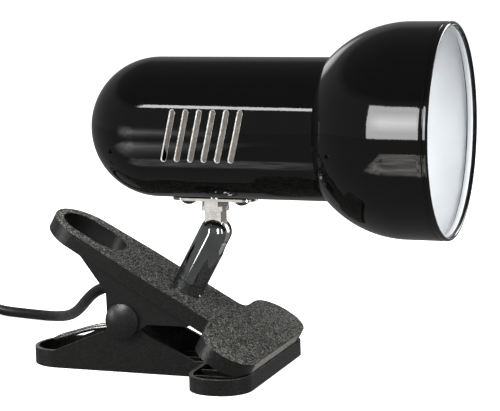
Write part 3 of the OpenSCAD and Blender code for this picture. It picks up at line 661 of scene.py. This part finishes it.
# The sky is white for the camera. Elsewhere it is dim, and brighter towards the horizon than overhead
world = bpy.data.worlds.new("studio")
scene.world = world
world.use_nodes = True
tree = world.node_tree
tree.nodes.clear()
out = tree.nodes.new("ShaderNodeOutputWorld")
path = tree.nodes.new("ShaderNodeLightPath")
mix = tree.nodes.new("ShaderNodeMixShader")
seen = node_of(tree, "ShaderNodeBackground", Strength=1.05)
coord = tree.nodes.new("ShaderNodeTexCoord")
split = tree.nodes.new("ShaderNodeSeparateXYZ")
tree.links.new(coord.outputs["Generated"], split.inputs[0])
sky = node_of(tree, "ShaderNodeBackground")
tree.links.new(ramp(tree, split.outputs["Z"], 0.25, 0.12, 0.50, 0.62), sky.inputs["Strength"])
seen.inputs["Color"].default_value = (1, 1, 1, 1)
sky.inputs["Color"].default_value = (1, 1, 1, 1)
tree.links.new(path.outputs["Is Camera Ray"], mix.inputs["Fac"])
tree.links.new(sky.outputs[0], mix.inputs[1])
tree.links.new(seen.outputs[0], mix.inputs[2])
tree.links.new(mix.outputs[0], out.inputs["Surface"])


def group(name, objects, state):
    """A light-linking collection. state is INCLUDE or EXCLUDE, for all of its objects."""
    c = bpy.data.collections.new(name)
    for o in objects:
        c.objects.link(o)
    for link_ in c.collection_objects:
        link_.light_linking.link_state = state
    return c


only_bowl = group("only_bowl", [bowl], "INCLUDE")
only_barrel = group("only_barrel", [shell], "INCLUDE")


def light(name, at, to, size, radiance, colour=(1, 1, 1), receivers=None):
    """An area light whose brightness is given as radiance, as its reflection shows it."""
    data = bpy.data.lights.new(name, "AREA")
    data.shape = "RECTANGLE"
    data.size, data.size_y = size
    data.energy = radiance * math.pi * size[0] * size[1]
    data.color = colour
    o = bpy.data.objects.new(name, data)
    scene.collection.objects.link(o)
    o.location = at
    o.rotation_mode = "QUATERNION"
    o.rotation_quaternion = (Vector(to) - Vector(at)).to_track_quat("-Z", "Y")
    o.visible_camera = False
    if receivers:
        o.light_linking.receiver_collection = receivers
    return o


def shaped(name, at, to, size, radiance, receivers, edge=0.12, heart=0.0, mottle=0.0, colour=(1, 1, 1)):
    """A soft-edged area light seen only in reflections. heart brightens its middle, mottle patches it."""
    o = light(name, at, to, size, 1, colour, receivers)
    o.visible_diffuse = o.visible_transmission = False
    o.data.use_nodes = True
    tree = o.data.node_tree
    glow = next(n for n in tree.nodes if n.type == "EMISSION")
    across = tree.nodes.new("ShaderNodeNewGeometry").outputs["Parametric"]
    xyz = tree.nodes.new("ShaderNodeSeparateXYZ")
    tree.links.new(across, xyz.inputs[0])

    def maths(operation, a, b=0.0):
        n = node_of(tree, "ShaderNodeMath", operation=operation)
        for socket, value in zip(n.inputs, (a, b)):
            if isinstance(value, float):
                socket.default_value = value
            else:
                tree.links.new(value, socket)
        return n.outputs[0]

    off = [maths("ABSOLUTE", maths("SUBTRACT", xyz.outputs[axis], 0.5)) for axis in ("X", "Y")]
    rim = [ramp(tree, d, 1, 0, 0.5 - edge, 0.5) for d in off]
    core = [ramp(tree, d, 1, 0, 0.0, reach) for d, reach in zip(off, (0.6, 0.3))]
    total = maths("MULTIPLY", maths("MULTIPLY", *rim), float(radiance))
    if heart:
        total = maths("ADD", total, maths("MULTIPLY", maths("MULTIPLY", *core), float(heart)))
    if mottle:
        patches = node_of(tree, "ShaderNodeTexNoise", Scale=mottle * size[0], Detail=4.0, Roughness=0.6)
        tree.links.new(across, patches.inputs["Vector"])
        total = maths("MULTIPLY", total, ramp(tree, patches.outputs["Fac"], 0.15, 1.7, 0.35, 0.65))
    tree.links.new(total, glow.inputs["Strength"])
    return o


# Reflections on the bowl
shaped("bowl_window", (-0.2085, -0.968, 0.365), (0.1, -0.05, 0.12), (0.56, 0.60), 9.5, only_bowl,
       edge=0.02, heart=7)
shaped("bowl_table", (0.075, -0.28, 0.004), (0.075, -0.28, 1), (0.22, 0.24), 1.7, only_bowl,
       edge=0.05, mottle=30, colour=(1, 0.97, 0.92))
shaped("bowl_crescent", (-0.9, 1.1, 0.55), (0, 0, 0.12), (0.7, 0.6), 1.5, only_bowl, edge=0.3)

# Reflections on the barrel and its round end
shaped("barrel_strip", (-0.340, -0.774, 0.715), (0, -0.031, 0.133), (0.225, 0.075), 14, only_barrel,
       edge=0.04)
shaped("barrel_table", (-0.055, -0.105, 0.003), (-0.055, -0.105, 1), (0.16, 0.05), 0.8, only_barrel,
       edge=0.2, mottle=60)
shaped("dome_patch", (-0.30, -0.40, 0.09), (-0.05, -0.03, 0.12), (0.34, 0.17), 1.6, only_barrel,
       edge=0.45, heart=1.0, mottle=4)
shaped("dome_table", (-0.21, -0.26, 0.003), (-0.21, -0.26, 1), (0.26, 0.3), 2.6, only_barrel,
       edge=0.45, heart=1.0, mottle=4)

# Reflections on the far side of the head
only_gloss = group("only_gloss", [bowl, shell], "INCLUDE")
shaped("rear_window", (0.6, 0.8, 0.45), (0, 0, 0.12), (0.6, 0.5), 7, only_gloss, edge=0.03, heart=4)
shaped("rear_low", (0.1, 0.6, 0.02), (0.05, 0, 0.12), (0.5, 0.12), 1.5, only_gloss, edge=0.3, mottle=9)

only_liner = group("only_liner", [liner], "INCLUDE")
only_holder = group("only_holder", [nodes["lampholder_insert"], sleeve_piece], "INCLUDE")
not_shell = group("not_shell", [shell, bowl, liner], "EXCLUDE")
only_chrome = group("only_chrome", [nodes[n] for n in (
    "swivel_tube", "tube_ferrule", "knuckle_stem", "bracket_plate", "plate_screws", "stem_nut")], "INCLUDE")
not_polished = group("not_polished", [bowl, shell, nodes["swivel_tube"], nodes["tube_ferrule"]], "EXCLUDE")

# Upright streaks round the metal parts: (degrees from the camera's azimuth, width, height, radiance)
STREAK_DISTANCE = 0.6
for degrees, width, height, radiance in (
    (-52, 0.05, 0.5, 14), (13, 0.10, 0.6, 24), (42, 0.05, 0.5, 8), (120, 0.3, 0.6, 6),
):
    a = math.radians(degrees + CAMERA_AZIMUTH)
    shaped("chrome_streak", (STREAK_DISTANCE * math.sin(a), -STREAK_DISTANCE * math.cos(a), 0.12),
           (0, 0, 0.06), (width, height), radiance, only_chrome, edge=0.15)
only_neck = group("only_neck", [nodes[n] for n in ("knuckle_stem", "bracket_plate", "stem_nut")], "INCLUDE")
shaped("neck_table", (-0.17, -0.46, 0.003), (-0.17, -0.46, 1), (0.3, 0.34), 0.75, only_neck, edge=0.3)

# General light, and lights for single pieces
only_jaws = group("only_jaws", [upper, lower, nodes["pivot_caps"]], "INCLUDE")
only_lips = group("only_lips", [vent_lips], "INCLUDE")
light("jaw_side", (-0.75, -0.45, 0.12), (-0.05, 0, 0.04), (0.2, 0.4), 7, receivers=only_jaws)
light("key", (-0.5, -0.9, 0.9), (0, 0, 0.05), (0.6, 0.6), 12, receivers=not_polished)
light("fill", (0.9, -0.35, 0.4), (0.05, 0, 0.1), (0.5, 0.6), 6, (0.97, 0.985, 1), not_polished)
light("top", (0, 0.1, 1.2), (0, 0, 0.05), (0.7, 0.5), 9, receivers=not_polished)
light("inside", (0.7, -0.35, 0.25), (0.1, 0, 0.12), (0.4, 0.4), 11, (0.98, 0.99, 1), only_liner)
vent_light = light("vent_fill", (0.1, -0.6, 0.25), (0, 0, 0.12), (0.3, 0.3), 7, (1, 0.98, 0.95), only_holder)
vent_light.light_linking.blocker_collection = not_shell
light("vent_edges", (0.7, -0.6, 0.12), (0, 0, 0.12), (0.3, 0.3), 45, receivers=only_lips)
